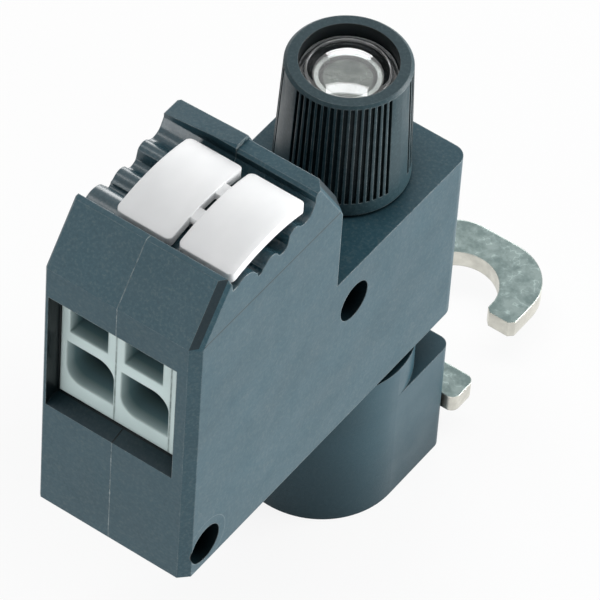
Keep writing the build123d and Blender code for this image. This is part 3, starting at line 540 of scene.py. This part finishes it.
def make_coil():
    """The plunger's spring: round wire wound on the cap's axis, hung on the plunger."""
    shape = bmesh.new()
    low = COIL_Z[0] + COIL_WIRE
    high = COIL_Z[1] - COIL_WIRE
    steps = round(COIL_TURNS * COIL_STEPS_PER_TURN)
    rings = []
    for step in range(steps + 1):
        turn = 2 * math.pi * COIL_TURNS * step / steps
        height = low + (high - low) * step / steps
        ring = []
        for side in range(COIL_SIDES):
            around = 2 * math.pi * side / COIL_SIDES
            radius = COIL_RADIUS + COIL_WIRE * math.cos(around)
            place = (CAP_X + radius * math.cos(turn), CAP_Y + radius * math.sin(turn),
                     height + COIL_WIRE * math.sin(around))
            ring.append(shape.verts.new(Vector(place) * MM))
        rings.append(ring)
    for lower, upper in zip(rings, rings[1:]):
        for side in range(COIL_SIDES):
            following = (side + 1) % COIL_SIDES
            shape.faces.new((lower[side], lower[following], upper[following], upper[side]))
    shape.faces.new(rings[0])
    shape.faces.new(rings[-1])
    bmesh.ops.recalc_face_normals(shape, faces=shape.faces)
    coil = add_piece("coil", shape, 50, materials["spring"])
    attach(coil, "plunger")
    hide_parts("plunger_spring")
    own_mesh(coil)


make_coil()


def make_flexing(node):
    """Puts a copy of a cage spring's mesh in the scene in place of the part, which is hidden."""
    spring = bpy.data.objects.new("flexing_" + node, NODES[node].data.copy())
    bpy.context.scene.collection.objects.link(spring)
    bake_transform(spring)
    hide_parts(node)


make_flexing("cage_spring_1")
make_flexing("cage_spring_2")


def floor_material():
    """A pale floor that cameras, metal and glass see as nearly white, with a soft shadow left in it."""
    m = Nodes("floor_white")
    m.shader.inputs["Base Color"].default_value = (0.93, 0.93, 0.93, 1.0)
    m.shader.inputs["Roughness"].default_value = 0.9
    m.shader.inputs["Specular IOR Level"].default_value = 0.0
    glow = m.node("ShaderNodeEmission")
    glow.inputs["Strength"].default_value = 1.0
    path = m.node("ShaderNodeLightPath")
    seen = m.math("MAXIMUM", path.outputs["Is Camera Ray"], path.outputs["Is Glossy Ray"])
    seen = m.math("MAXIMUM", seen, path.outputs["Is Transmission Ray"])
    mixed = m.node("ShaderNodeMixShader")
    m.link(m.math("MULTIPLY", seen, 0.88), mixed.inputs["Fac"])
    m.link(m.shader.outputs["BSDF"], mixed.inputs[1])
    m.link(glow.outputs["Emission"], mixed.inputs[2])
    m.link(mixed.outputs["Shader"], m.output.inputs["Surface"])
    return m.material


def make_floor():
    mesh = bpy.data.meshes.new("floor")
    grid = bmesh.new()
    bmesh.ops.create_grid(grid, x_segments=2, y_segments=2, size=2.0)
    grid.to_mesh(mesh)
    grid.free()
    floor = bpy.data.objects.new("floor", mesh)
    floor.location = (0, 0, FLOOR_Z * MM)
    mesh.materials.append(floor_material())
    bpy.context.scene.collection.objects.link(floor)


def make_world():
    """A dim white room that cameras, metal and glass see as plain white."""
    world = bpy.data.worlds.new("studio")
    bpy.context.scene.world = world
    world.use_nodes = True
    tree = world.node_tree
    tree.nodes.clear()
    output = tree.nodes.new("ShaderNodeOutputWorld")
    path = tree.nodes.new("ShaderNodeLightPath")
    light = tree.nodes.new("ShaderNodeBackground")
    light.inputs["Color"].default_value = (0.96, 0.98, 1.0, 1.0)
    light.inputs["Strength"].default_value = 0.15
    shown = tree.nodes.new("ShaderNodeBackground")
    shown.inputs["Color"].default_value = (1.0, 1.0, 1.0, 1.0)
    shown.inputs["Strength"].default_value = 1.0
    seen = path.outputs["Is Camera Ray"]
    for ray in ("Is Glossy Ray", "Is Transmission Ray"):
        either = tree.nodes.new("ShaderNodeMath")
        either.operation = "MAXIMUM"
        tree.links.new(seen, either.inputs[0])
        tree.links.new(path.outputs[ray], either.inputs[1])
        seen = either.outputs["Value"]
    mixed = tree.nodes.new("ShaderNodeMixShader")
    tree.links.new(seen, mixed.inputs["Fac"])
    tree.links.new(light.outputs["Background"], mixed.inputs[1])
    tree.links.new(shown.outputs["Background"], mixed.inputs[2])
    tree.links.new(mixed.outputs["Shader"], output.inputs["Surface"])


def area_lamp(name, place, target, size, power):
    data = bpy.data.lights.new(name, "AREA")
    data.shape = "RECTANGLE"
    data.size = size[0]
    data.size_y = size[1]
    data.energy = power
    lamp = bpy.data.objects.new(name, data)
    lamp.location = place
    lamp.rotation_euler = (Vector(target) - Vector(place)).to_track_quat("-Z", "Y").to_euler()
    bpy.context.scene.collection.objects.link(lamp)


def make_camera():
    """The photograph's camera: solved from the edges of the body seen in it."""
    azimuth = math.radians(32.753)
    elevation = math.radians(48.42)
    roll = math.radians(4.152)
    distance = 585.1 * MM
    aim = Vector((-1.0, -36.97, 29.97)) * MM
    slide = (-5.466 * MM, -1.116 * MM)
    back = Vector((
        math.sin(azimuth) * math.cos(elevation),
        -math.cos(azimuth) * math.cos(elevation),
        math.sin(elevation),
    ))
    level = Vector((math.cos(azimuth), math.sin(azimuth), 0))
    upright = back.cross(level)
    right = level * math.cos(roll) + upright * math.sin(roll)
    up = upright * math.cos(roll) - level * math.sin(roll)
    place = aim - right * slide[0] - up * slide[1] + back * distance
    data = bpy.data.cameras.new("photo_camera")
    data.sensor_fit = "HORIZONTAL"
    data.sensor_width = 36.0
    data.lens = 377.9
    data.clip_start = 0.01
    data.clip_end = 20.0
    camera = bpy.data.objects.new("photo_camera", data)
    camera.matrix_world = Matrix((
        (right.x, up.x, back.x, place.x),
        (right.y, up.y, back.y, place.y),
        (right.z, up.z, back.z, place.z),
        (0, 0, 0, 1),
    ))
    bpy.context.scene.collection.objects.link(camera)
    bpy.context.scene.camera = camera


make_floor()
make_world()
CENTRE = (0.0, -0.03, 0.03)
area_lamp("top_box", (0.011, -0.047, 0.82), CENTRE, (0.9, 0.22), 2.7)
area_lamp("back_box", (-0.44, 0.66, 0.22), CENTRE, (0.6, 0.4), 4.0)
area_lamp("right_box", (0.62, 0.50, 0.16), CENTRE, (0.5, 0.35), 9.8)
area_lamp("front_box", (-0.05, -0.8, 0.1), CENTRE, (0.8, 0.3), 2.7)
make_camera()
bpy.context.scene.view_settings.view_transform = "Standard"
